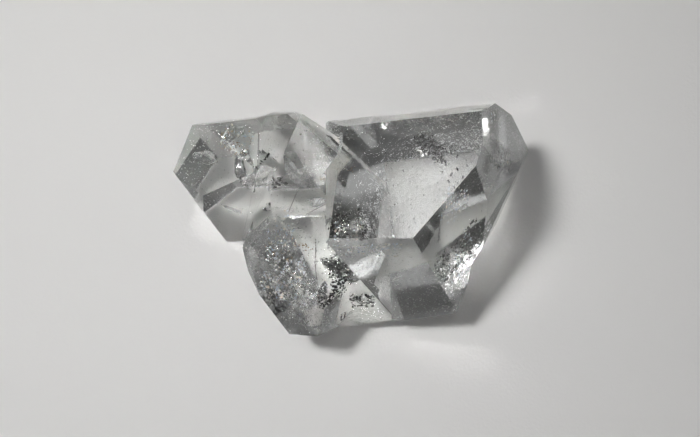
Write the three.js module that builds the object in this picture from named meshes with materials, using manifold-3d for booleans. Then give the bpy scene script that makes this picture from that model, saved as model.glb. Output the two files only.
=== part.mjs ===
// Herkimer diamond cluster: clear, doubly terminated quartz crystals grown together in parallel.
// One solid, in millimetres, +Z up, resting on the lower prism faces of the larger crystals.
//
// All the crystals share one lattice, so they share one set of face directions. The long (c) axis
// lies level. Each crystal is the space inside its faces, and the cluster is all of them joined.

import * as THREE from 'three';
import { mergeVertices } from 'three/addons/utils/BufferGeometryUtils.js';
import Module from 'manifold-3d';

const wasm = await Module();
wasm.setup();

// ---- Lattice ---------------------------------------------------------------------------------

const C_AXIS_AZIMUTH = 49; // degrees from +X, seen from above
const RHOMB_ANGLE = 51.78; // degrees between a rhombohedral face's normal and the c axis
const PRISM_TURN = 60; // degrees from one prism face to the next
const CUTTER = 70; // mm, side of the block that trims one face, larger than the cluster

// ---- Colour ----------------------------------------------------------------------------------

const QUARTZ_COLOUR = 0xe9ebea;
const QUARTZ_ROUGHNESS = 0.05;

// ---- Crystals --------------------------------------------------------------------------------
// centre: the crystal's middle in plan. floor, top: heights of its two level prism faces.
// Every other length is how far that face stands from the centre at mid height, in mm.

// Large crystal on the right, which carries the wide flat window.
const LARGE = {
  centre: [4, 0],
  floor: 0,
  top: 21,
  backTip: 12.55,
  rightTip: 14.3,
  frontSide: 9.5,
  frontTail: 7.85,
  frontTailUnder: 13.9,
  rightBevel: 11.75,
  upperBevel: 11.95,
  rightUnder: 12.2,
  backWall: 11.3,
  backTipUnder: 11.0,
  leftUnder: 2.85,
  leftTail: 9.4,
  frontUnder: 9.88,
};

// Leftmost crystal, the longest of the small ones.
const OUTER = {
  centre: [-15, 4],
  floor: 0,
  top: 14.6,
  upperTail: 3.6,
  frontTail: 1.95,
  cornerWall: 6.0,
  sideWall: 5.75,
  backTip: 9.1,
  backWall: 7.4,
  frontTailUnder: 7.4,
  lowerWall: 3.9,
  lowerBevel: 3.25,
  upperTip: 10.65,
  frontSide: 5.4,
  rightTip: 9.1,
};

// Crystal between the leftmost one and the ridge.
const MIDDLE = {
  centre: [-9, 5],
  floor: 1,
  top: 16.2,
  upperTail: 5.45,
  frontTail: 2.65,
  leftWall: 3.1,
  backTip: 8.7,
  backWall: 7.2,
  backCorner: 7.3,
  frontTailUnder: 8.05,
  seam: 3.4,
  upperTip: 9.65,
  frontSide: 5.3,
};

// Ridge crystal against the large one, the highest of the small ones.
const RIDGE = {
  centre: [-3, 5],
  floor: 1.5,
  top: 20.2,
  upperTail: 6.35,
  frontTail: 3.05,
  leftWall: 5.7,
  backTip: 8.8,
  backWall: 5.45,
  backCorner: 3.1,
  lowerWall: 6.9,
  frontSide: 5.6,
  frontSideUnder: 1.95,
};

// Low veiled crystal at the front left.
const VEILED = {
  centre: [-6, -6],
  floor: 0.3,
  top: 9.6,
  frontSide: 7.0,
  upperTip: 6.1,
  upperTail: 4.7,
  leftUnder: 2.6,
  frontUnder: 5.85,
  backSide: 7.9,
  leftTail: 7.65,
  leftTailUnder: 5.35,
  leftBevel: 6.0,
  backTip: 11.5,
  frontSideUnder: 6.4,
};

// Low crystal under the front edge, which carries the cluster's front foot.
const FOOT = {
  centre: [0, -6],
  floor: 0,
  top: 7.5,
  frontTail: 4.6,
  frontTailUnder: 6.6,
  rightTip: 6.45,
  rightTipUnder: 6.25,
  upperTip: 3.5,
  leftTailUnder: 5.3,
  backSideUnder: 10.3,
  backTip: 11.1,
};

// ---- Growth steps ----------------------------------------------------------------------------
// A step lowers the part of a face that lies past a line. depth: how far it drops. from: where the
// line stands, measured like a face.

const BACK_TIP_STEP = { depth: 0.18, from: 11.15 };
const MIDDLE_TOP_STEP = { depth: 0.2, from: 1.9 };
const RIDGE_TAIL_STEP = { depth: 0.2, from: 1.4 };

// Notch broken out of the large crystal's right edge, between two small break faces.
const NOTCH_FRONT = 11.9;
const NOTCH_BACK = 11.1;

// Moves the middle of the cluster's outline over the origin.
const CENTRING = [-0.78, 0.33, 0];

// ---- Directions ------------------------------------------------------------------------------

const UP = new THREE.Vector3(0, 0, 1);
const C_AXIS = facing(C_AXIS_AZIMUTH, 0);
const SIDE = new THREE.Vector3().crossVectors(C_AXIS, UP);

// Unit vector at an azimuth from +X and a slope above the level, both in degrees.
function facing(azimuth, slope) {
  const turn = THREE.MathUtils.degToRad(azimuth);
  const lift = THREE.MathUtils.degToRad(slope);
  const level = Math.cos(lift);
  return new THREE.Vector3(level * Math.cos(turn), level * Math.sin(turn), Math.sin(lift));
}

// Prism face, counted from the one that faces down (0) round to the one that faces up (3).
function prism(index) {
  const turn = THREE.MathUtils.degToRad(PRISM_TURN * (index - 3));
  const up = UP.clone().multiplyScalar(Math.cos(turn));
  return up.addScaledVector(SIDE, Math.sin(turn));
}

// Rhombohedral face over a prism face, at the end of the crystal that sign names (+1 or -1).
function rhomb(index, sign) {
  const lean = THREE.MathUtils.degToRad(RHOMB_ANGLE);
  const outward = prism(index).multiplyScalar(Math.sin(lean));
  return outward.addScaledVector(C_AXIS, sign * Math.cos(lean));
}

const tip = (index) => rhomb(index, 1);
const tail = (index) => rhomb(index, -1);

// Faces that are broken, bevelled or stepped away from the lattice's own directions.
const FRONT_TAIL = facing(-90, 23);
const FRONT_TAIL_UNDER = facing(-75.5, -23);
const RIGHT_BEVEL = facing(-19.7, 16.2);
const UPPER_BEVEL = facing(-18.4, 25.1);
const RIGHT_UNDER = facing(-24.5, 4.9);
const BACK_WALL = facing(96.7, 0);
const MIDDLE_BACK_WALL = facing(80.7, 0);
const RIDGE_BACK_WALL = facing(78.7, 0);
const BACK_CORNER = facing(56, 0);
const LARGE_LEFT_TAIL = facing(172.4, 23);
const LARGE_LEFT_UNDER = facing(-171, -23);
const LARGE_FRONT_UNDER = facing(-60, -75);
const OUTER_CORNER = facing(143.5, -8);
const OUTER_SIDE = facing(143.4, -15);
const OUTER_LOWER = facing(-141.5, 0);
const OUTER_LOWER_BEVEL = facing(-126, 22);
const MIDDLE_LEFT = facing(180, 12);
const MIDDLE_SEAM = facing(155.5, 0);
const RIDGE_LEFT = facing(155.9, 8);
const RIDGE_LOWER = facing(-173, 0);
const VEILED_LEFT_UNDER = facing(-152, -48);
const VEILED_LEFT_BEVEL = facing(-155.5, 22);
const VEILED_FRONT_UNDER = facing(-81.7, -30);
const NOTCH_FRONT_FACE = facing(-32.5, 0);
const NOTCH_BACK_FACE = facing(-6.3, 0);
const BACK_TIP_STEP_LINE = facing(91, 0);
const MIDDLE_TOP_STEP_LINE = facing(160, 0);
const RIDGE_TAIL_STEP_LINE = facing(145, 0);

// ---- Solids ----------------------------------------------------------------------------------

// Closed solid from a closed three.js geometry.
function solidOf(geometry) {
  geometry.deleteAttribute('normal');
  geometry.deleteAttribute('uv');
  const merged = mergeVertices(geometry);
  const vertProperties = new Float32Array(merged.attributes.position.array);
  const triVerts = new Uint32Array(merged.index.array);
  return new wasm.Manifold(new wasm.Mesh({ numProp: 3, vertProperties, triVerts }));
}

// Middle of a crystal.
function middle(crystal) {
  const [x, y] = crystal.centre;
  return new THREE.Vector3(x, y, (crystal.floor + crystal.top) / 2);
}

// Block that holds everything past a plane that faces direction, at distance from a point.
function beyond(point, direction, distance) {
  const block = new THREE.BoxGeometry(CUTTER, CUTTER, CUTTER);
  block.translate(0, 0, CUTTER / 2);
  block.applyQuaternion(new THREE.Quaternion().setFromUnitVectors(UP, direction));
  const foot = point.clone().addScaledVector(direction, distance);
  block.translate(foot.x, foot.y, foot.z);
  return solidOf(block);
}

// Slab between the two level prism faces, before the sloping faces are cut.
function levelSlab(crystal) {
  const height = crystal.top - crystal.floor;
  const slab = new THREE.BoxGeometry(CUTTER, CUTTER, height);
  const [x, y] = crystal.centre;
  slab.translate(x, y, crystal.floor + height / 2);
  return solidOf(slab);
}

// Crystal bounded by its level faces and by a list of [direction, distance] faces.
function grow(crystal, faces) {
  let solid = levelSlab(crystal);
  for (const [direction, distance] of faces) {
    solid = solid.subtract(beyond(middle(crystal), direction, distance));
  }
  return solid;
}

// Lowers the part of one face that lies past a second plane.
function step(solid, crystal, face, distance, past, size) {
  const over = beyond(middle(crystal), face, distance - size.depth);
  const side = beyond(middle(crystal), past, size.from);
  return solid.subtract(over.intersect(side));
}

function largeCrystal() {
  const faces = [
    [tip(2), LARGE.backTip],
    [tip(4), LARGE.rightTip],
    [prism(4), LARGE.frontSide],
    [FRONT_TAIL, LARGE.frontTail],
    [FRONT_TAIL_UNDER, LARGE.frontTailUnder],
    [RIGHT_BEVEL, LARGE.rightBevel],
    [UPPER_BEVEL, LARGE.upperBevel],
    [RIGHT_UNDER, LARGE.rightUnder],
    [BACK_WALL, LARGE.backWall],
    [tip(1), LARGE.backTipUnder],
    [LARGE_LEFT_UNDER, LARGE.leftUnder],
    [LARGE_LEFT_TAIL, LARGE.leftTail],
    [LARGE_FRONT_UNDER, LARGE.frontUnder],
  ];
  const solid = grow(LARGE, faces);
  const stepped = step(solid, LARGE, tip(2), LARGE.backTip, BACK_TIP_STEP_LINE, BACK_TIP_STEP);
  return stepped.subtract(notch());
}

// Wedge between the two break faces of the notch.
function notch() {
  const front = beyond(middle(LARGE), NOTCH_FRONT_FACE, NOTCH_FRONT);
  const back = beyond(middle(LARGE), NOTCH_BACK_FACE, NOTCH_BACK);
  return front.intersect(back);
}

function outerCrystal() {
  const faces = [
    [tail(3), OUTER.upperTail],
    [FRONT_TAIL, OUTER.frontTail],
    [OUTER_CORNER, OUTER.cornerWall],
    [OUTER_SIDE, OUTER.sideWall],
    [tip(2), OUTER.backTip],
    [BACK_WALL, OUTER.backWall],
    [tail(5), OUTER.frontTailUnder],
    [OUTER_LOWER, OUTER.lowerWall],
    [OUTER_LOWER_BEVEL, OUTER.lowerBevel],
    [tip(3), OUTER.upperTip],
    [prism(4), OUTER.frontSide],
    [tip(4), OUTER.rightTip],
  ];
  return grow(OUTER, faces);
}

function middleCrystal() {
  const faces = [
    [tail(3), MIDDLE.upperTail],
    [FRONT_TAIL, MIDDLE.frontTail],
    [MIDDLE_LEFT, MIDDLE.leftWall],
    [tip(2), MIDDLE.backTip],
    [MIDDLE_BACK_WALL, MIDDLE.backWall],
    [BACK_CORNER, MIDDLE.backCorner],
    [tail(5), MIDDLE.frontTailUnder],
    [MIDDLE_SEAM, MIDDLE.seam],
    [tip(3), MIDDLE.upperTip],
    [prism(4), MIDDLE.frontSide],
  ];
  const solid = grow(MIDDLE, faces);
  const height = (MIDDLE.top - MIDDLE.floor) / 2;
  return step(solid, MIDDLE, UP, height, MIDDLE_TOP_STEP_LINE, MIDDLE_TOP_STEP);
}

function ridgeCrystal() {
  const faces = [
    [tail(3), RIDGE.upperTail],
    [FRONT_TAIL, RIDGE.frontTail],
    [RIDGE_LEFT, RIDGE.leftWall],
    [tip(2), RIDGE.backTip],
    [RIDGE_BACK_WALL, RIDGE.backWall],
    [BACK_CORNER, RIDGE.backCorner],
    [RIDGE_LOWER, RIDGE.lowerWall],
    [prism(4), RIDGE.frontSide],
    [prism(5), RIDGE.frontSideUnder],
  ];
  const solid = grow(RIDGE, faces);
  return step(solid, RIDGE, FRONT_TAIL, RIDGE.frontTail, RIDGE_TAIL_STEP_LINE, RIDGE_TAIL_STEP);
}

function veiledCrystal() {
  const faces = [
    [prism(4), VEILED.frontSide],
    [tip(3), VEILED.upperTip],
    [tail(3), VEILED.upperTail],
    [VEILED_LEFT_UNDER, VEILED.leftUnder],
    [VEILED_FRONT_UNDER, VEILED.frontUnder],
    [prism(2), VEILED.backSide],
    [tail(2), VEILED.leftTail],
    [tail(1), VEILED.leftTailUnder],
    [VEILED_LEFT_BEVEL, VEILED.leftBevel],
    [tip(2), VEILED.backTip],
    [prism(5), VEILED.frontSideUnder],
  ];
  return grow(VEILED, faces);
}

function footCrystal() {
  const faces = [
    [FRONT_TAIL, FOOT.frontTail],
    [FRONT_TAIL_UNDER, FOOT.frontTailUnder],
    [tip(4), FOOT.rightTip],
    [tip(5), FOOT.rightTipUnder],
    [tip(3), FOOT.upperTip],
    [tail(1), FOOT.leftTailUnder],
    [prism(1), FOOT.backSideUnder],
    [tip(2), FOOT.backTip],
  ];
  return grow(FOOT, faces);
}

// ---- Cluster ---------------------------------------------------------------------------------

function clusterGeometry() {
  let cluster = largeCrystal();
  cluster = cluster.add(ridgeCrystal());
  cluster = cluster.add(middleCrystal());
  cluster = cluster.add(outerCrystal());
  cluster = cluster.add(veiledCrystal());
  cluster = cluster.add(footCrystal());
  const mesh = cluster.getMesh();
  const geometry = new THREE.BufferGeometry();
  geometry.setAttribute('position', new THREE.BufferAttribute(mesh.vertProperties, 3));
  geometry.setIndex(new THREE.BufferAttribute(mesh.triVerts, 1));
  geometry.computeVertexNormals();
  return geometry;
}

function quartzMaterial() {
  return new THREE.MeshStandardMaterial({
    color: QUARTZ_COLOUR,
    roughness: QUARTZ_ROUGHNESS,
    metalness: 0,
  });
}

const cluster = new THREE.Mesh(clusterGeometry(), quartzMaterial());
cluster.name = 'quartz_cluster';
cluster.position.set(...CENTRING);

const group = new THREE.Group();
group.add(cluster);

export default group;
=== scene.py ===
"""Herkimer diamond cluster: the look of the quartz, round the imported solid.

Clear quartz crystals grown together, with carbon specks, iron stains and healed cracks inside.
"""

import math

import bmesh
import bpy
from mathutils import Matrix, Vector, noise
from mathutils.bvhtree import BVHTree


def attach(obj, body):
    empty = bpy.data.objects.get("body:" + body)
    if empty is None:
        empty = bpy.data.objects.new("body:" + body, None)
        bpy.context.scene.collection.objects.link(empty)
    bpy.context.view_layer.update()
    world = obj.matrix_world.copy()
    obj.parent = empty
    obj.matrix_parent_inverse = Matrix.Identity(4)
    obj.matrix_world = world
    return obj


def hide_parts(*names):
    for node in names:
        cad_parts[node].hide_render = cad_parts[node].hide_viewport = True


bl_info = {
    "name": "Herkimer diamond cluster",
    "version": (1, 0, 0),
    "blender": (4, 5, 0),
    "location": "View3D > Sidebar > Crystal",
    "description": "Dresses a packed quartz cluster with its finish, inclusions and a studio",
    "category": "Object",
}

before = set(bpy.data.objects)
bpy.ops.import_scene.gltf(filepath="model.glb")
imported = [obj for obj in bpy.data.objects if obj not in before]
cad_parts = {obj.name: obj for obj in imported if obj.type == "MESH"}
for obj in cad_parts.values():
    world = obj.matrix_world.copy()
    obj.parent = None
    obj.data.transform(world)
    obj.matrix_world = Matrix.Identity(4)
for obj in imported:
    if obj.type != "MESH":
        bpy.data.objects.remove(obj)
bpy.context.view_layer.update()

SOLID = "quartz_cluster"
BODY = "root"
MM = 0.001
UP = Vector((0, 0, 1))

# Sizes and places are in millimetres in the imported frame, unless a comment says otherwise.
# Directions are an azimuth from +X and a slope above the level, in degrees.

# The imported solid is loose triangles: its vertices are joined within this distance, and its level
# triangles within this angle in degrees.
MERGE_DISTANCE = 0.001
MERGE_ANGLE = 0.3

# Quartz: its refractive index, and a roughness matched to the soft look of this cluster's faces.
QUARTZ_IOR = 1.544
QUARTZ_ROUGHNESS = 0.1

# Cracks: thin gaps of air shut inside the quartz.
# (centre, azimuth, slope, length, width, turn, bend, ripple)
CRACKS = (
    # Veiled crystal at the front left
    ((-2.2, -5.4, 6.4), 60, 38, 5.5, 3.2, 20, 0.5, 0.02),
    ((-7.0, -5.8, 6.6), -140, 42, 4.6, 2.6, -30, 0.6, 0.03),
    ((-9.4, -7.6, 5.2), 20, 46, 4.2, 2.4, 40, 0.5, 0.03),
    ((-6.6, -9.0, 5.6), -60, 35, 4.4, 2.6, 10, 0.5, 0.03),
    ((-10.3, -4.6, 6.4), -100, 48, 3.6, 1.8, 0, 0.3, 0.02),
    ((-4.4, -8.4, 5.4), 150, 40, 4.0, 2.4, -20, 0.6, 0.03),
    # Large crystal, front right
    ((10.9, -4.6, 8.6), 130, 30, 5.6, 2.6, 60, 0.6, 0.03),
    ((12.3, -2.4, 9.0), 160, 40, 4.2, 1.8, 70, 0.4, 0.02),
    # Large crystal, back right
    ((15.2, 7.6, 11.4), -140, 42, 3.8, 2.2, 30, 0.4, 0.02),
    ((14.4, 9.2, 14.0), -110, 44, 2.6, 1.6, 0, 0.3, 0.02),
    # Large crystal, front left of its top
    ((-0.4, -1.6, 13.5), -70, 36, 3.6, 2.4, 10, 0.4, 0.03),
    # Outer, middle and ridge crystals
    ((-13.4, 7.0, 9.8), -30, 40, 5.0, 2.4, 60, 0.4, 0.02),
    ((-17.8, 8.6, 9.0), -100, 44, 3.8, 2.2, 20, 0.4, 0.02),
    ((-10.4, 6.6, 10.6), 170, 40, 4.6, 2.0, 80, 0.3, 0.02),
    ((-7.2, 6.6, 12.4), -20, 42, 5.0, 2.2, 70, 0.4, 0.02),
    ((-9.6, 3.0, 6.8), -80, 44, 4.0, 2.0, 10, 0.4, 0.02),
    ((-15.6, 3.4, 5.0), 30, 38, 4.4, 2.0, 75, 0.3, 0.02),
    ((-4.6, 3.4, 9.6), -160, 42, 4.6, 2.2, 50, 0.4, 0.02),
)
# A crack's air gap at its middle, and the mesh that carries it.
CRACK_GAP = 0.03
CRACK_RINGS = 12
CRACK_SPOKES = 32
CRACK_SEED_STEP = 1.7
# It stops at this part of the way to the nearest face.
CRACK_STOP = 0.88
# Its rim, as parts of the set size: the mean, how far it wavers and how quickly.
RIM_MEAN = 0.85
RIM_WAVER = 0.3
RIM_RATE = 1.7
# Shell-like ribs run round a focus, which stands beside the crack by parts of its half length.
RIB_PITCH = 0.9
RIB_FOCUS = (-0.9, 0.3)
# A crack also wanders a little out of its sheet.
WANDER_PITCH = 1.4
WANDER_HEIGHT = 0.12

# Textured places on the surface: (kind, centre, reach, pitch of the texture, its height).
# Feather is curved ribs of a shell-like break, grain is fine pitting.
ROUGH_ZONES = (
    ("feather", (-9.0, -6.6, 8.6), 5.4, 1.6, 0.30),
    ("grain", (-6.6, -9.6, 8.0), 4.0, 0.40, 0.14),
    ("grain", (-2.6, -5.0, 9.6), 2.6, 0.35, 0.12),
    ("grain", (1.0, -10.6, 3.8), 3.6, 0.40, 0.16),
    ("feather", (-14.2, 9.4, 14.6), 2.6, 1.0, 0.20),
    ("feather", (12.6, -5.8, 10.0), 3.0, 1.4, 0.16),
    ("grain", (-0.8, -2.6, 21.0), 2.4, 0.35, 0.08),
    ("feather", (11.0, 0.6, 18.6), 3.6, 2.2, 0.06),
    ("feather", (5.4, -5.4, 17.0), 5.0, 2.4, 0.05),
)
# Part of a zone's reach over which its texture stays full.
ZONE_CORE = 0.45
# Faint unevenness over all the faces.
PLAIN_PITCH = 0.6
PLAIN_HEIGHT = 0.012
# Noise of each kind of texture: type, detail, distortion.
TEXTURES = {
    "feather": ("RIDGED_MULTIFRACTAL", 2.5, 1.2),
    "grain": ("FBM", 3.0, 0.6),
}

# Where the colours of a mottled finish start and end on its noise, and its fine relief.
MOTTLE_SPAN = (0.3, 0.7)
MOTTLE_RELIEF = 0.02

# The card and its tooth, which is finer on a real card: drawn as coarse as it shows.
CARD_SIDE = 600.0
CARD_TOOTH_PITCH = 0.35
CARD_TOOTH_HEIGHT = 0.03

# Cells along each side of a sheet's mesh.
SHEET_CELLS = 6
# Sheets that carry scattered flakes: (centre, azimuth, slope, length, width, turn, bend).
# Healed cracks, and one patch of pearly flakes laid as a painted highlight
HEALED_AND_HIGHLIGHT_SHEETS = (
    ((-8.6, -5.4, 7.9), -130, 62, 5.0, 3.6, 20, 0.4),
    ((-7.2, -8.0, 7.2), -110, 55, 6.0, 3.4, -20, 0.4),
    ((-9.8, -7.2, 6.6), -150, 50, 4.0, 2.4, 30, 0.4),
    ((12.4, -2.2, 11.6), -40, 40, 5.0, 2.2, 60, 0.4),
    ((11.8, -5.2, 10.4), -60, 45, 4.6, 1.4, 70, 0.4),
    ((10.6, 0.8, 18.2), -41, 30, 4.4, 3.4, 20, 0.2),
    ((0.0, -10.6, 4.4), -90, 40, 5.4, 1.8, 0, 0.3),
    ((16.6, 7.4, 13.2), 1, 23, 3.4, 2.4, 0, 0.2),
    # Painted highlight: dense pearly flakes for the bright reflection at the top of the right end
    # face
    ((15.8, 11.2, 16.4), 1, 30, 1.8, 2.4, 0, 0.1),
    ((-14.0, 9.2, 14.0), -120, 70, 3.4, 2.6, 0, 0.2),
    ((-1.0, -2.6, 20.2), -80, 84, 3.6, 2.0, 0, 0.1),
    ((0.8, -4.4, 18.2), -90, 23, 8.6, 2.6, 0, 0.1),
    ((15.8, -0.4, 9.2), -19, 16, 1.4, 4.4, 0, 0.1),
    ((-8.6, -0.4, 9.0), 0, 88, 4.6, 2.2, 20, 0.1),
    ((-10.0, -3.2, 9.0), 0, 88, 5.0, 1.6, 0, 0.1),
)
# Rainbow films
RAINBOW_SHEETS = (
    ((17.9, 7.6, 11.3), 1, 23, 1.4, 1.6, 0, 0.1),
    ((15.2, 11.2, 16.9), 1, 23, 1.2, 1.0, 0, 0.1),
)
# Iron stains
STAIN_SHEETS = (
    ((-13.2, 9.6, 14.0), -110, 75, 2.4, 1.2, 30, 0.2),
    ((-6.8, -3.0, 8.9), -110, 80, 3.0, 1.4, 0, 0.1),
    ((-14.4, 9.0, 13.6), -110, 75, 3.6, 2.4, 0, 0.3),
    ((-3.4, 3.6, 15.4), -150, 60, 2.0, 1.2, 20, 0.2),
    ((-9.4, -3.4, 7.2), -110, 70, 3.6, 1.6, 0, 0.2),
    ((-0.6, 4.2, 18.4), -90, 80, 1.6, 1.2, 0, 0.1),
)
# Carbon films, with glints among them: partly real carbon, partly black flakes laid as painted
# shade where the quartz shows dark
CARBON_AND_SHADE_SHEETS = (
    ((-2.0, -5.6, 9.0), 0, 88, 3.6, 2.8, 10, 0.1),
    ((-3.6, -9.3, 8.7), 0, 88, 2.0, 1.8, 0, 0.1),
    ((-2.3, -8.1, 8.8), -41, 60, 1.6, 1.4, 0, 0.1),
    ((-9.9, -9.3, 6.1), -131, 52, 3.0, 2.6, 0, 0.1),
    ((16.9, 7.2, 13.6), 1, 23, 3.2, 9.0, 0, 0.1),
    ((13.2, -2.6, 12.3), -41, 30, 4.6, 5.0, 0, 0.1),
    ((10.3, -5.6, 12.8), -41, 30, 2.4, 4.6, 0, 0.1),
    ((-2.1, -2.1, 20.5), 0, 88, 2.2, 2.4, 0, 0.1),
    ((1.0, -2.9, 20.5), 0, 88, 1.6, 1.4, 0, 0.1),
    ((0.7, -9.0, 6.8), -90, 23, 3.0, 3.4, 0, 0.1),
    ((-1.0, -10.8, 4.6), -90, 23, 2.4, 2.0, 0, 0.1),
    ((-9.3, 4.0, 14.2), -90, 23, 2.2, 1.4, 30, 0.1),
    ((-11.2, 6.2, 14.8), -131, 52, 0.6, 3.0, 0, 0.1),
    ((17.0, 7.2, 13.7), 1, 23, 3.2, 7.0, 0, 0.1),
)
# Carbon dots
SPECK_SHEETS = (((8.2, 2.4, 20.2), 90, 89, 10.0, 10.0, 0, 0.0),)
# Carbon knot
KNOT_SHEETS = (
    ((8.0, 7.0, 19.9), 60, 60, 3.4, 2.0, -35, 0.3),
    ((9.0, 6.2, 19.8), 40, 50, 2.8, 1.6, -35, 0.3),
)

# One flake is a small cone: its sides, its radius and height for a size of 1, and its vertices.
FLAKE_SIDES = 5
FLAKE_RADIUS = 0.5
FLAKE_HEIGHT = 0.5
FLAKE_VERTS = FLAKE_SIDES + 1
# Range of the random tilt about two axes and turn about the third, in radians at a tilt of 1.
FLAKE_TURNS = ((-1.0, -1.0, -5.0), (1.0, 1.0, 5.0))
# Range of the random length, width and thickness, as parts of the set ones.
FLAKE_SPREAD = ((0.3, 0.3, 0.6), (1.5, 1.0, 1.0))
# How many times the set density the thickest drift can reach.
DRIFT_PEAK = 3.0
# Nearest that the middle of a flake comes to a face.
FLAKE_CLEARANCE = 0.12
# The veils follow the faces that look up by at least this sine and lie below this height.
VEIL_LEAST_RISE = 0.15
VEIL_TOP = 20.5

# Middle of the camera's view, and the nearest that it sees.
CAMERA_TARGET = (-0.78, 0.33, 10.5)
CAMERA_NEAREST = 1.0

# Distance of the lights in metres, the middle that they stand round and the dim ones face, and the
# part of its radius over which a light, or the window light, fades out.
LIGHT_DISTANCE = 0.6
LIGHT_AIM = (0.0, 0.0, 10.0)
SOFT_RIM = 0.3
WINDOW_SOFT_RIM = 0.45

# Place on the wide top face that mirrors the middle of the window light.
WINDOW_GLOW = (11.2, -2.2, 21.0)

# Point on the card that the key light is aimed at, and its beam angle in degrees.
KEY_AIM = (-25.0, 8.0, 0.0)
KEY_BEAM = 32.0

# Grey of the room by the sine of the slope: pale at the horizon, black overhead.
ROOM_LEVELS = ((0.0, 0.75), (0.2, 0.35), (0.5, 0.18), (0.75, 0.0))

# Dim soft lights: azimuth and slope in degrees, diameter in metres, power in watts.
FILLS = {
    "fill_back": (42.0, 56.0, 0.18, 0.055),
    "fill_top": (279.0, 78.0, 0.12, 0.03),
    "fill_behind": (98.0, 63.0, 0.12, 0.025),
    "fill_right": (2.0, 26.0, 0.16, 0.045),
    "fill_left": (212.0, 69.0, 0.15, 0.08),
    "fill_front": (292.0, 60.0, 0.36, 0.24),
    "fill_low": (261.0, 14.0, 0.20, 0.06),
}

# Grains of carbon: greatest lean in degrees and its step from one grain to the next, raggedness as
# a part of the radius and how fine it is, and thickness as a part of the width.
GRAIN_LEAN = 35.0
GRAIN_LEAN_STEP = 2.4
GRAIN_RAGGED = 0.35
GRAIN_RAGGED_RATE = 3.0
GRAIN_FLATNESS = 0.7
# Larger separate grains of carbon: (centre, length, width).
LARGE_GRAINS = (
    ((10.0, 4.9, 20.2), 0.7, 0.26),
    ((11.3, 4.2, 20.2), 0.5, 0.22),
    ((10.6, 3.6, 20.2), 0.6, 0.2),
    ((10.3, 2.8, 20.2), 0.45, 0.22),
    ((11.9, 3.3, 20.2), 0.4, 0.18),
    ((11.3, 5.7, 20.2), 0.5, 0.2),
    ((12.4, 4.6, 20.3), 0.32, 0.16),
    ((12.8, 3.9, 20.3), 0.3, 0.14),
    ((10.9, 2.1, 20.3), 0.3, 0.16),
    ((11.3, 2.6, 20.3), 0.26, 0.14),
    ((9.6, 3.9, 20.3), 0.28, 0.14),
    ((3.2, 6.1, 20.3), 0.26, 0.2),
    ((0.2, -0.4, 20.3), 0.4, 0.24),
    ((1.1, -1.1, 20.3), 0.3, 0.2),
    ((-0.8, -0.9, 20.3), 0.26, 0.18),
)


# ---- Helpers ---------------------------------------------------------------------------------


def colour(code):
    """Linear RGBA from an sRGB hex code such as "e9ebea"."""
    channels = [int(code[i : i + 2], 16) / 255 for i in (0, 2, 4)]
    linear = [c / 12.92 if c <= 0.04045 else ((c + 0.055) / 1.055) ** 2.4 for c in channels]
    return (*linear, 1.0)


def mm(*point):
    """A point given in millimetres, in metres."""
    return Vector(point) * MM


def facing(azimuth, slope):
    """Unit vector at an azimuth from +X and a slope above the level, in degrees."""
    turn = math.radians(azimuth)
    lift = math.radians(slope)
    level = math.cos(lift)
    return Vector((level * math.cos(turn), level * math.sin(turn), math.sin(lift)))


def add_node(tree, kind, inputs=None, **settings):
    """Adds a node with its settings. Each input, by name or number, takes a link or a value."""
    node = tree.nodes.new(kind)
    for name, value in settings.items():
        setattr(node, name, value)
    for name, value in (inputs or {}).items():
        if isinstance(value, bpy.types.NodeSocket):
            tree.links.new(value, node.inputs[name])
        else:
            node.inputs[name].default_value = value
    return node


def new_material(name):
    """Empty node material, its tree and its output node."""
    material = bpy.data.materials.new(name)
    material.use_nodes = True
    tree = material.node_tree
    tree.nodes.clear()
    return material, tree, tree.nodes.new("ShaderNodeOutputMaterial")


def link_object(name, mesh):
    """Puts a mesh into the scene as an object at the origin."""
    made = bpy.data.objects.new(name, mesh)
    bpy.context.scene.collection.objects.link(made)
    return made


def mesh_from(shape, name):
    """Mesh with the contents of a bmesh, which is then freed."""
    mesh = bpy.data.meshes.new(name)
    shape.to_mesh(mesh)
    shape.free()
    return mesh


# ---- Materials -------------------------------------------------------------------------------


def object_point(tree, pitch):
    """Object coordinates, scaled so that one unit is a pitch in millimetres."""
    coordinates = add_node(tree, "ShaderNodeTexCoord")
    scale = 1 / (pitch * MM)
    mapping = add_node(
        tree,
        "ShaderNodeMapping",
        {"Vector": coordinates.outputs["Object"], "Scale": (scale, scale, scale)},
    )
    return mapping.outputs["Vector"]


def texture_height(tree, kind, pitch):
    """Height from 0 to about 1 of a feathered or grainy texture."""
    noise_type, detail, distortion = TEXTURES[kind]
    texture = add_node(
        tree,
        "ShaderNodeTexNoise",
        {
            "Vector": object_point(tree, pitch),
            "Scale": 1.0,
            "Detail": detail,
            "Distortion": distortion,
        },
        noise_type=noise_type,
    )
    return texture.outputs["Fac"]


def zone_height(tree, zone):
    """Height in metres of one zone's texture, which fades out round the zone's centre."""
    kind, centre, reach, pitch, height = zone
    coordinates = add_node(tree, "ShaderNodeTexCoord")
    away = add_node(
        tree,
        "ShaderNodeVectorMath",
        {0: coordinates.outputs["Object"], 1: mm(*centre)},
        operation="DISTANCE",
    )
    fade = add_node(
        tree,
        "ShaderNodeMapRange",
        {
            "Value": away.outputs["Value"],
            "From Min": reach * MM * ZONE_CORE,
            "From Max": reach * MM,
            "To Min": height * MM,
            "To Max": 0.0,
        },
        interpolation_type="SMOOTHSTEP",
    )
    scaled = add_node(
        tree,
        "ShaderNodeMath",
        {0: texture_height(tree, kind, pitch), 1: fade.outputs["Result"]},
        operation="MULTIPLY",
    )
    return scaled.outputs["Value"]


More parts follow.
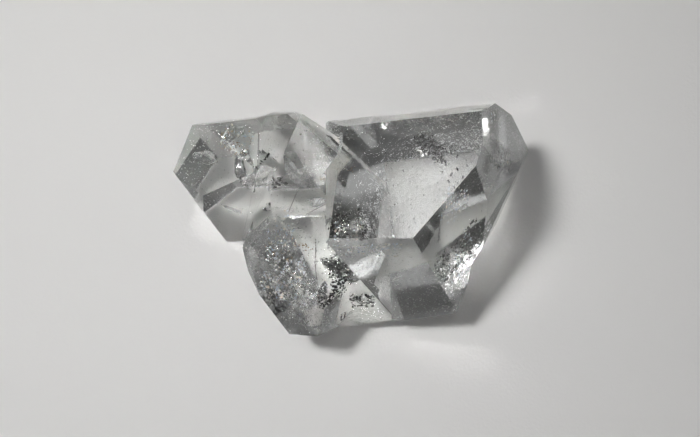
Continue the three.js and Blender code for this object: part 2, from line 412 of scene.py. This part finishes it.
def rock_crystal(look):
    """Rock crystal: colourless natural quartz with grown faces, glassy, faintly smoky over length.

    Grown faces are nearly as smooth as glass. Broken and veiled places are finely rippled, which
    breaks what is seen through them into slivers of light and dark.
    """
    material, tree, output = new_material("rock_crystal")
    plain = add_node(
        tree,
        "ShaderNodeMath",
        {0: texture_height(tree, "grain", PLAIN_PITCH), 1: PLAIN_HEIGHT * MM},
        operation="MULTIPLY",
    )
    height = plain.outputs["Value"]
    for zone in ROUGH_ZONES:
        both = add_node(tree, "ShaderNodeMath", {0: height, 1: zone_height(tree, zone)})
        height = both.outputs["Value"]
    bump = add_node(tree, "ShaderNodeBump", {"Height": height, "Distance": 1.0})
    shader = add_node(
        tree,
        "ShaderNodeBsdfPrincipled",
        {
            "Base Color": colour("ffffff"),
            "Transmission Weight": 1.0,
            "Roughness": QUARTZ_ROUGHNESS,
            "IOR": QUARTZ_IOR,
            "Normal": bump.outputs["Normal"],
        },
    )
    volume = add_node(
        tree,
        "ShaderNodeVolumeAbsorption",
        {"Color": colour(look.body_tint), "Density": look.body_density},
    )
    tree.links.new(shader.outputs["BSDF"], output.inputs["Surface"])
    tree.links.new(volume.outputs["Volume"], output.inputs["Volume"])
    return material


def mottled(name, codes, pitch, roughness, metallic=0.0):
    """Opaque finish whose colour drifts between hex codes over a pitch in millimetres."""
    material, tree, output = new_material(name)
    drift = add_node(
        tree,
        "ShaderNodeTexNoise",
        {"Vector": object_point(tree, pitch), "Scale": 1.0, "Detail": 2.0},
    )
    ramp = add_node(tree, "ShaderNodeValToRGB", {"Fac": drift.outputs["Fac"]})
    steps = ramp.color_ramp.elements
    first, last = MOTTLE_SPAN
    steps[0].position, steps[1].position = first, last
    for index in range(1, len(codes) - 1):
        steps.new(first + (last - first) * index / (len(codes) - 1))
    for step, code in zip(steps, codes):
        step.color = colour(code)
    bump = add_node(
        tree,
        "ShaderNodeBump",
        {"Height": drift.outputs["Fac"], "Distance": MOTTLE_RELIEF * MM},
    )
    shader = add_node(
        tree,
        "ShaderNodeBsdfPrincipled",
        {
            "Base Color": ramp.outputs["Color"],
            "Roughness": roughness,
            "Metallic": metallic,
            "Normal": bump.outputs["Normal"],
        },
    )
    tree.links.new(shader.outputs["BSDF"], output.inputs["Surface"])
    return material


def anthraxolite_and_shade():
    """Anthraxolite, the coal-like carbon shut inside such quartz: near black, with a dull gloss. It
    also colours the black flakes laid as painted shade.
    """
    return mottled("anthraxolite_and_shade", ("0c0b0b", "1c1a1a", "2a2624"), pitch=0.3, roughness=0.45)


def limonite():
    """Limonite, the iron stain in cracks: earthy, matte, yellow-brown to rust."""
    return mottled("limonite", ("5d4630", "8c6f4c", "b09a78"), pitch=0.4, roughness=0.8)


def healed_film_and_highlight():
    """Film of trapped fluid in a healed crack: pearly and bright, from blue-white to warm white. It
    also colours the flakes of one painted highlight.
    """
    codes = ("c9d8ec", "f2f4f4", "fff4e4")
    return mottled("healed_film_and_highlight", codes, pitch=0.7, roughness=0.3, metallic=0.2)


def fluid_veil():
    """Veil of tiny fluid-filled pits: dull grey-white dots that cloud the clear quartz.

    Real pits are finer: the dots are drawn as coarse as they show.
    """
    return mottled("fluid_veil", ("5c5b5a", "a9a9a7", "e9e7e2"), pitch=0.35, roughness=0.5)


def rainbow_film():
    """Air film thin enough to show interference colours, red to blue, a fraction of a mm apart."""
    codes = ("d84a2a", "e8a23a", "cfd86a", "6ab0d8", "4a6fd0")
    return mottled("rainbow_film", codes, pitch=0.25, roughness=0.2, metallic=0.7)


def matte_card():
    """Matte white card: rough, with a faint tooth."""
    material, tree, output = new_material("matte_card")
    tooth = add_node(
        tree,
        "ShaderNodeTexNoise",
        {"Vector": object_point(tree, CARD_TOOTH_PITCH), "Scale": 1.0, "Detail": 3.0},
    )
    bump = add_node(
        tree,
        "ShaderNodeBump",
        {"Height": tooth.outputs["Fac"], "Distance": CARD_TOOTH_HEIGHT * MM},
    )
    shader = add_node(
        tree,
        "ShaderNodeBsdfPrincipled",
        {"Base Color": colour("e6e5e3"), "Roughness": 0.9, "Normal": bump.outputs["Normal"]},
    )
    tree.links.new(shader.outputs["BSDF"], output.inputs["Surface"])
    return material


# ---- Settings --------------------------------------------------------------------------------


class CrystalLook(bpy.types.PropertyGroup):
    """Finish of the quartz."""

    body_tint: bpy.props.StringProperty(
        name="Body tint",
        description="Colour that long paths through the quartz take on, as an sRGB hex code",
        default="e3e4e3",
    )
    body_density: bpy.props.FloatProperty(
        name="Body density",
        description="How fast the body tint builds up with length, per metre",
        default=55.0,
        min=0.0,
    )


class StageLook(bpy.types.PropertyGroup):
    """Camera, card and lights."""

    camera_distance: bpy.props.FloatProperty(
        name="Camera distance",
        description="From the camera to the middle of the cluster",
        default=142 * MM,
        unit="LENGTH",
        subtype="DISTANCE",
    )
    camera_elevation: bpy.props.FloatProperty(
        name="Camera elevation",
        description="Height of the view above the level",
        default=math.radians(80),
        unit="ROTATION",
        subtype="ANGLE",
    )
    field_of_view: bpy.props.FloatProperty(
        name="Field of view",
        description="Width of the view",
        default=math.radians(33),
        unit="ROTATION",
        subtype="ANGLE",
    )
    key_azimuth: bpy.props.FloatProperty(
        name="Key azimuth",
        description="Side that the main soft light stands on, turned from +X",
        default=math.radians(160),
        unit="ROTATION",
        subtype="ANGLE",
    )
    key_slope: bpy.props.FloatProperty(
        name="Key slope",
        description="Height of the main soft light above the level",
        default=math.radians(60),
        unit="ROTATION",
        subtype="ANGLE",
    )
    key_size: bpy.props.FloatProperty(
        name="Key size",
        description="Diameter of the main soft light",
        default=0.13,
        unit="LENGTH",
        subtype="DISTANCE",
    )
    key_power: bpy.props.FloatProperty(
        name="Key power",
        description="Power of the main soft light",
        default=0.116,
        unit="POWER",
        subtype="POWER",
    )
    window_size: bpy.props.FloatProperty(
        name="Window light size",
        description="Diameter of the soft light that the wide top face mirrors",
        default=0.115,
        unit="LENGTH",
        subtype="DISTANCE",
    )
    window_power: bpy.props.FloatProperty(
        name="Window light power",
        description="Power of the soft light that the wide top face mirrors",
        default=0.25,
        unit="POWER",
        subtype="POWER",
    )
    card_gap: bpy.props.FloatProperty(
        name="Card gap",
        description="Air left between the card's fibres and the polished underside",
        default=0.1 * MM,
        unit="LENGTH",
        subtype="DISTANCE",
    )
    room_level: bpy.props.FloatProperty(
        name="Room level",
        description="Brightness of the room round the card",
        default=0.8,
        min=0.0,
    )


# ---- Pieces ----------------------------------------------------------------------------------


def merged_solid():
    """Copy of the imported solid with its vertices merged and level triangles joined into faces."""
    shape = bmesh.new()
    shape.from_mesh(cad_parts[SOLID].data)
    bmesh.ops.remove_doubles(shape, verts=shape.verts, dist=MERGE_DISTANCE * MM)
    bmesh.ops.dissolve_limit(
        shape, angle_limit=math.radians(MERGE_ANGLE), verts=shape.verts, edges=shape.edges
    )
    return shape


def sheet_axes(azimuth, slope, turn):
    """Two directions along a sheet and its facing direction."""
    out = facing(azimuth, slope)
    along = out.cross(UP).normalized()
    across = out.cross(along)
    spin = math.radians(turn)
    return (
        along * math.cos(spin) + across * math.sin(spin),
        across * math.cos(spin) - along * math.sin(spin),
        out,
    )


def crack_reach(solid, centre, direction, wanted):
    """How far a crack runs in one direction: as far as wanted, but short of the nearest face."""
    distance = solid.ray_cast(centre, direction)[3]
    return 0.0 if distance is None else min(wanted, CRACK_STOP * distance)


def crack_rise(along, across, size, bend, ripple, seed):
    """Height of a crack over its flat sheet: one broad bend, shell-like ribs, a little wander."""
    from_focus = math.hypot(along - RIB_FOCUS[0] * size, across - RIB_FOCUS[1] * size)
    ribs = ripple * math.sin(2 * math.pi * from_focus / (RIB_PITCH * MM) + seed) * MM
    spot = Vector((along, across, seed * MM)) / (WANDER_PITCH * MM)
    wander = noise.noise(spot) * WANDER_HEIGHT * MM
    return bend * MM * (along**2 + across**2) / size**2 + ribs + wander


def crack_rims(solid, centre, along, across, half, seed):
    """Ragged rim of a crack, as places on its flat sheet that stop short of the quartz's faces."""
    rims = []
    for spoke in range(CRACK_SPOKES):
        angle = 2 * math.pi * spoke / CRACK_SPOKES
        spot = Vector((math.cos(angle), math.sin(angle), seed)) * RIM_RATE
        ragged = RIM_MEAN + RIM_WAVER * noise.noise(spot)
        x, y = half[0] * math.cos(angle) * ragged, half[1] * math.sin(angle) * ragged
        direction = (along * x + across * y).normalized()
        reach = crack_reach(solid, centre, direction, math.hypot(x, y))
        rims.append(Vector((x, y)).normalized() * reach)
    return rims


def add_crack(shape, solid, crack, seed):
    """Adds one closed, lens-thin gap whose faces point into the gap, out of the quartz."""
    place, azimuth, slope, length, width, turn, bend, ripple = crack
    centre = mm(*place)
    along, across, out = sheet_axes(azimuth, slope, turn)
    half = Vector((length, width)) * MM / 2

    def lay(spot, gap=0.0):
        x, y = spot
        rise = crack_rise(x, y, half[0], bend, ripple, seed)
        return shape.verts.new(centre + along * x + across * y + out * (rise + gap))

    rims = crack_rims(solid, centre, along, across, half, seed)
    walls = []
    for side in (1, -1):
        rings = []
        for ring in range(CRACK_RINGS):
            part = ring / CRACK_RINGS
            gap = side * CRACK_GAP * MM / 2 * math.sqrt(1 - part**2)
            spots = rims if ring else rims[:1]
            rings.append([lay(rim * part, gap) for rim in spots])
        walls.append(rings)
    edge = [lay(rim) for rim in rims]
    for rings, order in zip(walls, (1, -1)):
        rings.append(edge)
        for spoke in range(CRACK_SPOKES):
            after = (spoke + 1) % CRACK_SPOKES
            faces = [(rings[0][0], rings[1][after], rings[1][spoke])]
            for inner, outer in zip(rings[1:], rings[2:]):
                faces.append((inner[spoke], inner[after], outer[after], outer[spoke]))
            for corners in faces:
                shape.faces.new(corners[::order]).smooth = True


def sheets_mesh(sheets):
    """Mesh of gently bent rectangular sheets, to scatter flakes over."""
    shape = bmesh.new()
    steps = range(SHEET_CELLS + 1)
    for place, azimuth, slope, length, width, turn, bend in sheets:
        along, across, out = sheet_axes(azimuth, slope, turn)
        grid = []
        for row in steps:
            for column in steps:
                u, v = column / SHEET_CELLS * 2 - 1, row / SHEET_CELLS * 2 - 1
                spot = along * (u * length / 2) + across * (v * width / 2)
                spot += out * bend * (1 - (u**2 + v**2) / 2)
                grid.append(shape.verts.new((Vector(place) + spot) * MM))
        for row in steps[:-1]:
            for column in steps[:-1]:
                first = row * len(steps) + column
                above = first + len(steps)
                ring = (first, first + 1, above + 1, above)
                shape.faces.new([grid[index] for index in ring])
    return mesh_from(shape, "sheets")


def drift_density(tree, given):
    """Flakes per square metre: many in the drifts of a noise, none between them."""
    position = add_node(tree, "GeometryNodeInputPosition")
    rate = add_node(tree, "ShaderNodeMath", {0: 1.0, 1: given["Drift size"]}, operation="DIVIDE")
    drift = add_node(
        tree,
        "ShaderNodeTexNoise",
        {"Vector": position.outputs["Position"], "Scale": rate.outputs["Value"]},
    )
    bare = add_node(tree, "ShaderNodeMath", {0: 1.0, 1: given["Drift cover"]}, operation="SUBTRACT")
    chance = add_node(
        tree,
        "ShaderNodeMapRange",
        {
            "Value": drift.outputs["Fac"],
            "From Min": bare.outputs["Value"],
            "From Max": 1.0,
            "To Max": DRIFT_PEAK,
        },
    )
    per_metre = add_node(
        tree, "ShaderNodeMath", {0: given["Flakes per mm2"], 1: 1 / MM**2}, operation="MULTIPLY"
    )
    density = add_node(
        tree,
        "ShaderNodeMath",
        {0: per_metre.outputs["Value"], 1: chance.outputs["Result"]},
        operation="MULTIPLY",
    )
    return density.outputs["Value"]


def flake_places(tree, given):
    """Random points on the sheets, sunk and spread in depth, and the sheet's rotation there."""
    points = add_node(
        tree,
        "GeometryNodeDistributePointsOnFaces",
        {"Mesh": given["Sheets"], "Density": drift_density(tree, given), "Seed": given["Seed"]},
    )
    middle = add_node(tree, "ShaderNodeMath", {0: given["Sink"], 1: -1.0}, operation="MULTIPLY")
    around = {0: middle.outputs["Value"], 1: given["Depth"]}
    low = add_node(tree, "ShaderNodeMath", around, operation="SUBTRACT")
    high = add_node(tree, "ShaderNodeMath", around, operation="ADD")
    sink = add_node(
        tree,
        "FunctionNodeRandomValue",
        {2: low.outputs["Value"], 3: high.outputs["Value"], "Seed": given["Seed"]},
    )
    shift = add_node(
        tree,
        "ShaderNodeVectorMath",
        {0: points.outputs["Normal"], "Scale": sink.outputs[1]},
        operation="SCALE",
    )
    moved = add_node(
        tree,
        "GeometryNodeSetPosition",
        {"Geometry": points.outputs["Points"], "Offset": shift.outputs["Vector"]},
    )
    return moved.outputs["Geometry"], points.outputs["Rotation"]


def random_triple(tree, given, limits):
    """Three random numbers for each flake, between two sets of limits."""
    triple = add_node(
        tree,
        "FunctionNodeRandomValue",
        {0: limits[0], 1: limits[1], "Seed": given["Seed"]},
        data_type="FLOAT_VECTOR",
    )
    return triple.outputs[0]


def flake_rotation(tree, given, sheet_rotation):
    """Rotation of each flake: level with its sheet, then tilted and turned its own way."""
    tilted = add_node(
        tree,
        "ShaderNodeVectorMath",
        {0: random_triple(tree, given, FLAKE_TURNS), "Scale": given["Tilt"]},
        operation="SCALE",
    )
    spin = add_node(tree, "FunctionNodeEulerToRotation", {"Euler": tilted.outputs["Vector"]})
    rotation = add_node(
        tree,
        "FunctionNodeRotateRotation",
        {"Rotation": sheet_rotation, "Rotate By": spin.outputs["Rotation"]},
        rotation_space="LOCAL",
    )
    return rotation.outputs["Rotation"]


def flake_scale(tree, given):
    """Length, width and thickness of each flake."""
    flat = add_node(
        tree, "ShaderNodeCombineXYZ", {"X": 1.0, "Y": 1.0, "Z": given["Flake thickness"]}
    )
    shaped = add_node(
        tree,
        "ShaderNodeVectorMath",
        {0: random_triple(tree, given, FLAKE_SPREAD), 1: flat.outputs["Vector"]},
        operation="MULTIPLY",
    )
    sized = add_node(
        tree,
        "ShaderNodeVectorMath",
        {0: shaped.outputs["Vector"], "Scale": given["Flake size"]},
        operation="SCALE",
    )
    return sized.outputs["Vector"]


def flake_tree():
    """Geometry nodes: scatters thin flakes over sheets, in drifts, each tilted its own way."""
    tree = bpy.data.node_groups.new("scattered_flakes", "GeometryNodeTree")
    sockets = tree.interface
    sockets.new_socket("Sheets", in_out="INPUT", socket_type="NodeSocketGeometry")
    for name, value in (
        ("Flakes per mm2", 4.0),
        ("Flake size", 0.15 * MM),
        ("Flake thickness", 0.2),
        ("Depth", 0.3 * MM),
        ("Sink", 0.0),
        ("Tilt", 0.6),
        ("Drift size", 1.0 * MM),
        ("Drift cover", 0.5),
    ):
        made = sockets.new_socket(name, in_out="INPUT", socket_type="NodeSocketFloat")
        made.default_value = value
    sockets.new_socket("Seed", in_out="INPUT", socket_type="NodeSocketInt")
    sockets.new_socket("Finish", in_out="INPUT", socket_type="NodeSocketMaterial")
    sockets.new_socket("Flakes", in_out="OUTPUT", socket_type="NodeSocketGeometry")
    given = add_node(tree, "NodeGroupInput").outputs
    places, sheet_rotation = flake_places(tree, given)
    flake = add_node(
        tree,
        "GeometryNodeMeshCone",
        {
            "Vertices": FLAKE_SIDES,
            "Radius Top": 0.0,
            "Radius Bottom": FLAKE_RADIUS,
            "Depth": FLAKE_HEIGHT,
        },
    )
    placed = add_node(
        tree,
        "GeometryNodeInstanceOnPoints",
        {
            "Points": places,
            "Instance": flake.outputs["Mesh"],
            "Rotation": flake_rotation(tree, given, sheet_rotation),
            "Scale": flake_scale(tree, given),
        },
    )
    real = add_node(
        tree, "GeometryNodeRealizeInstances", {"Geometry": placed.outputs["Instances"]}
    )
    finished = add_node(
        tree,
        "GeometryNodeSetMaterial",
        {"Geometry": real.outputs["Geometry"], "Material": given["Finish"]},
    )
    add_node(tree, "NodeGroupOutput", {"Flakes": finished.outputs["Geometry"]})
    return tree


def upper_faces(top):
    """Mesh of the solid's faces that look upwards and lie below a height in metres."""
    shape = merged_solid()
    hidden = [
        face
        for face in shape.faces
        if face.normal.z < VEIL_LEAST_RISE or face.calc_center_median().z > top
    ]
    bmesh.ops.delete(shape, geom=hidden, context="FACES")
    return mesh_from(shape, "upper_faces")


def is_inside(solid, point):
    """Whether a point lies inside a closed solid: the first face above it is met from behind."""
    hit, normal, _, _ = solid.ray_cast(point, UP)
    return hit is not None and normal.z > 0


def drop_outside(mesh):
    """Removes the flakes that aren't wholly in the solid, or whose middle is too near a face."""
    shape = merged_solid()
    solid = BVHTree.FromBMesh(shape)
    shape.free()
    flakes = bmesh.new()
    flakes.from_mesh(mesh)
    flakes.verts.ensure_lookup_table()
    outside = []
    for first in range(0, len(flakes.verts), FLAKE_VERTS):
        flake = flakes.verts[first : first + FLAKE_VERTS]
        middle = sum((vert.co for vert in flake), Vector()) / FLAKE_VERTS
        nearest, normal, _, _ = solid.find_nearest(middle)
        too_near = (middle - nearest).dot(normal) > -FLAKE_CLEARANCE * MM
        if too_near or not all(is_inside(solid, vert.co) for vert in flake):
            outside.extend(flake)
    bmesh.ops.delete(flakes, geom=outside, context="VERTS")
    flakes.to_mesh(mesh)
    flakes.free()


def add_piece(name, mesh):
    """Puts a mesh into the scene as a piece of the one body."""
    piece = link_object(name, mesh)
    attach(piece, BODY)


def scatter(name, sheets, finish, **settings):
    """Adds a piece of flakes scattered over a mesh, with the tree's inputs set by name."""
    tree = bpy.data.node_groups.get("scattered_flakes") or flake_tree()
    carrier = link_object(name + "_sheets", sheets)
    modifier = carrier.modifiers.new("flakes", "NODES")
    modifier.node_group = tree
    values = {key.replace("_", " ").capitalize(): value for key, value in settings.items()}
    values["Finish"] = finish
    for socket in tree.interface.items_tree:
        if socket.in_out == "INPUT" and socket.name in values:
            modifier[socket.identifier] = values[socket.name]
    depsgraph = bpy.context.evaluated_depsgraph_get()
    mesh = bpy.data.meshes.new_from_object(carrier.evaluated_get(depsgraph))
    bpy.data.objects.remove(carrier)
    drop_outside(mesh)
    mesh.name = name
    add_piece(name, mesh)


def add_grain(shape, centre, length, width, seed):
    """Adds one ragged, elongated grain."""
    made = bmesh.ops.create_icosphere(shape, subdivisions=2, radius=0.5)["verts"]
    lean = math.radians(GRAIN_LEAN * math.sin(seed * GRAIN_LEAN_STEP))
    for vert in made:
        spot = vert.co * GRAIN_RAGGED_RATE + Vector((seed, 0, 0))
        x, y, z = vert.co * (1 + GRAIN_RAGGED * noise.noise(spot))
        x, y, z = x * width, y * length, z * width * GRAIN_FLATNESS
        turned = (x * math.cos(lean) - y * math.sin(lean), x * math.sin(lean) + y * math.cos(lean))
        vert.co = (Vector((*turned, z)) + Vector(centre)) * MM


class HERKIMER_OT_quartz(bpy.types.Operator):
    """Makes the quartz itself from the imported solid, with its cracks and a clear finish"""

    bl_idname = "herkimer.quartz"
    bl_label = "Quartz"

    def execute(self, context):
        look = context.scene.herkimer_crystal
        shape = merged_solid()
        solid = BVHTree.FromBMesh(shape)
        for index, crack in enumerate(CRACKS):
            add_crack(shape, solid, crack, index * CRACK_SEED_STEP)
        mesh = mesh_from(shape, "quartz")
        mesh.materials.append(rock_crystal(look))
        quartz = link_object("quartz", mesh)
        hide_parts(SOLID)
        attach(quartz, BODY)
        return {"FINISHED"}


class HERKIMER_OT_carbon(bpy.types.Operator):
    """Scatters the black carbon inside the quartz: dots, one knot, films and grains; part of the
    films is painted shade
    """

    bl_idname = "herkimer.carbon"
    bl_label = "Carbon"

    def execute(self, context):
        black = anthraxolite_and_shade()
        scatter(
            "carbon_dots",
            sheets_mesh(SPECK_SHEETS),
            black,
            flakes_per_mm2=1.6,
            flake_size=0.17 * MM,
            flake_thickness=0.6,
            depth=0.4 * MM,
            drift_size=3.0 * MM,
            drift_cover=0.65,
            seed=3,
        )
        scatter(
            "carbon_knot",
            sheets_mesh(KNOT_SHEETS),
            black,
            flakes_per_mm2=34.0,
            flake_size=0.34 * MM,
            flake_thickness=0.5,
            depth=0.3 * MM,
            tilt=1.0,
            drift_size=0.7 * MM,
            drift_cover=0.8,
            seed=5,
        )
        # Films of black flakes: partly real carbon, partly painted shade in places that show dark
        # shade through the faces
        scatter(
            "carbon_and_shade_films",
            sheets_mesh(CARBON_AND_SHADE_SHEETS),
            black,
            flakes_per_mm2=24.0,
            flake_size=0.42 * MM,
            flake_thickness=0.5,
            depth=0.4 * MM,
            tilt=0.8,
            drift_size=0.5 * MM,
            drift_cover=0.62,
            seed=9,
        )
        shape = bmesh.new()
        for seed, (centre, length, width) in enumerate(LARGE_GRAINS):
            add_grain(shape, centre, length, width, seed)
        mesh = mesh_from(shape, "carbon_grains")
        mesh.materials.append(black)
        add_piece("carbon_grains", mesh)
        return {"FINISHED"}


class HERKIMER_OT_films(bpy.types.Operator):
    """Scatters the flakes of the healed cracks and veils, pearly, grey or rainbow coloured, with
    one painted highlight among them
    """

    bl_idname = "herkimer.films"
    bl_label = "Healed cracks"

    def execute(self, context):
        pearly = healed_film_and_highlight()
        # Pearly flakes of healed cracks, with one patch that is a painted highlight
        scatter(
            "healed_cracks_and_highlight",
            sheets_mesh(HEALED_AND_HIGHLIGHT_SHEETS),
            pearly,
            flakes_per_mm2=16.0,
            flake_size=0.34 * MM,
            flake_thickness=0.12,
            depth=0.35 * MM,
            tilt=0.45,
            drift_size=0.8 * MM,
            drift_cover=0.55,
            seed=11,
        )
        scatter(
            "glints",
            sheets_mesh(CARBON_AND_SHADE_SHEETS),
            pearly,
            flakes_per_mm2=5.0,
            flake_size=0.2 * MM,
            flake_thickness=0.2,
            depth=0.6 * MM,
            tilt=1.0,
            drift_size=0.6 * MM,
            drift_cover=0.6,
            seed=21,
        )
        scatter(
            "veils",
            upper_faces(VEIL_TOP * MM),
            fluid_veil(),
            flakes_per_mm2=9.0,
            flake_size=0.17 * MM,
            flake_thickness=0.3,
            depth=0.7 * MM,
            sink=0.8 * MM,
            tilt=1.0,
            drift_size=3.0 * MM,
            drift_cover=0.62,
            seed=13,
        )
        scatter(
            "rainbow_films",
            sheets_mesh(RAINBOW_SHEETS),
            rainbow_film(),
            flakes_per_mm2=9.0,
            flake_size=0.3 * MM,
            flake_thickness=0.15,
            depth=0.15 * MM,
            tilt=0.7,
            drift_size=0.5 * MM,
            drift_cover=0.6,
            seed=7,
        )
        return {"FINISHED"}


class HERKIMER_OT_stains(bpy.types.Operator):
    """Scatters the brown iron stains along the seams"""

    bl_idname = "herkimer.stains"
    bl_label = "Iron stains"

    def execute(self, context):
        scatter(
            "iron_stains",
            sheets_mesh(STAIN_SHEETS),
            limonite(),
            flakes_per_mm2=26.0,
            flake_size=0.2 * MM,
            flake_thickness=0.4,
            depth=0.3 * MM,
            tilt=0.8,
            drift_size=0.8 * MM,
            drift_cover=0.5,
            seed=13,
        )
        return {"FINISHED"}


# ---- Stage -----------------------------------------------------------------------------------


def add_camera(look):
    """Camera above the front edge, looking down on the cluster."""
    data = bpy.data.cameras.new("camera")
    data.angle = look.field_of_view
    data.clip_start = CAMERA_NEAREST * MM
    camera = bpy.data.objects.new("camera", data)
    away = Vector((0, -math.cos(look.camera_elevation), math.sin(look.camera_elevation)))
    camera.location = mm(*CAMERA_TARGET) + away * look.camera_distance
    camera.rotation_euler = away.to_track_quat("Z", "Y").to_euler()
    bpy.context.scene.collection.objects.link(camera)
    bpy.context.scene.camera = camera


def add_softbox(name, place, aim, size, power, soft_rim=SOFT_RIM, beam=180.0):
    """Round soft light at a place, aimed at a point, that spreads over a beam angle in degrees.

    soft_rim: the part of its radius over which it fades out.
    """
    data = bpy.data.lights.new(name, "AREA")
    data.shape = "DISK"
    data.size = size
    data.energy = power
    data.spread = math.radians(beam)
    data.use_nodes = True
    tree = data.node_tree
    tree.nodes.clear()
    spot = add_node(tree, "ShaderNodeNewGeometry")
    away = add_node(
        tree,
        "ShaderNodeVectorMath",
        {0: spot.outputs["Parametric"], 1: (0.5, 0.5, 0.0)},
        operation="DISTANCE",
    )
    fade = add_node(
        tree,
        "ShaderNodeMapRange",
        {"Value": away.outputs["Value"], "From Min": 0.5, "From Max": 0.5 * (1 - soft_rim)},
        interpolation_type="SMOOTHSTEP",
    )
    glow = add_node(tree, "ShaderNodeEmission", {"Strength": fade.outputs["Result"]})
    add_node(tree, "ShaderNodeOutputLight", {"Surface": glow.outputs["Emission"]})
    light = bpy.data.objects.new(name, data)
    light.location = place
    light.rotation_euler = (place - aim).to_track_quat("Z", "Y").to_euler()
    bpy.context.scene.collection.objects.link(light)


def add_room(look):
    """Plain grey room: pale at the horizon and dark overhead, so that the facets have contrast."""
    room = bpy.data.worlds.new("room")
    room.use_nodes = True
    tree = room.node_tree
    direction = add_node(tree, "ShaderNodeNewGeometry")
    parts = add_node(tree, "ShaderNodeSeparateXYZ", {0: direction.outputs["Position"]})
    level = add_node(tree, "ShaderNodeValToRGB", {"Fac": parts.outputs["Z"]})
    stops = level.color_ramp.elements
    for height, _ in ROOM_LEVELS[1:-1]:
        stops.new(height)
    for stop, (height, grey) in zip(stops, ROOM_LEVELS):
        stop.position = height
        stop.color = (grey, grey, grey, 1.0)
    scaled = add_node(
        tree,
        "ShaderNodeMath",
        {0: level.outputs["Color"], 1: look.room_level},
        operation="MULTIPLY",
    )
    background = tree.nodes["Background"]
    background.inputs["Color"].default_value = colour("ffffff")
    tree.links.new(scaled.outputs["Value"], background.inputs["Strength"])
    bpy.context.scene.world = room


def add_card(look):
    """Pale card that the cluster lies on."""
    half = CARD_SIDE / 2 * MM
    low = -look.card_gap
    mesh = bpy.data.meshes.new("card")
    corners = [(-half, -half, low), (half, -half, low), (half, half, low), (-half, half, low)]
    mesh.from_pydata(corners, [], [(0, 1, 2, 3)])
    mesh.materials.append(matte_card())
    link_object("card", mesh)


def add_lights(look):
    """Key light, the dim soft lights, and the window light where the wide top face mirrors it."""
    side = facing(math.degrees(look.key_azimuth), math.degrees(look.key_slope))
    key = mm(*LIGHT_AIM) + side * LIGHT_DISTANCE
    add_softbox("key", key, mm(*KEY_AIM), look.key_size, look.key_power, beam=KEY_BEAM)
    for name, (azimuth, slope, size, power) in FILLS.items():
        place = mm(*LIGHT_AIM) + facing(azimuth, slope) * LIGHT_DISTANCE
        add_softbox(name, place, mm(*LIGHT_AIM), size, power)
    face = mm(*WINDOW_GLOW)
    bounced = face - bpy.context.scene.camera.location
    bounced.z = -bounced.z
    window = face + bounced.normalized() * LIGHT_DISTANCE
    add_softbox("window", window, face, look.window_size, look.window_power, WINDOW_SOFT_RIM)


class HERKIMER_OT_stage(bpy.types.Operator):
    """Lays the card, hangs the lights and sets the camera"""

    bl_idname = "herkimer.stage"
    bl_label = "Stage"

    def execute(self, context):
        look = context.scene.herkimer_stage
        add_camera(look)
        add_card(look)
        add_lights(look)
        add_room(look)
        cycles = context.scene.cycles
        cycles.max_bounces = 24
        cycles.glossy_bounces = 16
        cycles.transmission_bounces = 24
        cycles.blur_glossy = 0.0
        cycles.sample_clamp_indirect = 0.0
        context.scene.view_settings.view_transform = "Standard"
        return {"FINISHED"}


# ---- Add-on ----------------------------------------------------------------------------------


class HERKIMER_PT_panel(bpy.types.Panel):
    """Lists the pieces and their settings"""

    bl_idname = "HERKIMER_PT_panel"
    bl_label = "Herkimer cluster"
    bl_space_type = "VIEW_3D"
    bl_region_type = "UI"
    bl_category = "Crystal"

    def draw(self, context):
        layout = self.layout
        for look in (context.scene.herkimer_crystal, context.scene.herkimer_stage):
            box = layout.box()
            for name in look.bl_rna.properties.keys():
                if name not in ("rna_type", "name"):
                    box.prop(look, name)
        for piece in PIECES:
            layout.operator(piece.bl_idname)


PIECES = (
    HERKIMER_OT_quartz,
    HERKIMER_OT_carbon,
    HERKIMER_OT_films,
    HERKIMER_OT_stains,
    HERKIMER_OT_stage,
)
CLASSES = (CrystalLook, StageLook, *PIECES, HERKIMER_PT_panel)


def register():
    for made in CLASSES:
        bpy.utils.register_class(made)
    bpy.types.Scene.herkimer_crystal = bpy.props.PointerProperty(type=CrystalLook)
    bpy.types.Scene.herkimer_stage = bpy.props.PointerProperty(type=StageLook)


def unregister():
    del bpy.types.Scene.herkimer_stage
    del bpy.types.Scene.herkimer_crystal
    for made in reversed(CLASSES):
        bpy.utils.unregister_class(made)


def main():
    """Makes every piece and the stage."""
    register()
    for piece in PIECES:
        family, name = piece.bl_idname.split(".")
        getattr(getattr(bpy.ops, family), name)()


if __name__ == "__main__":
    main()
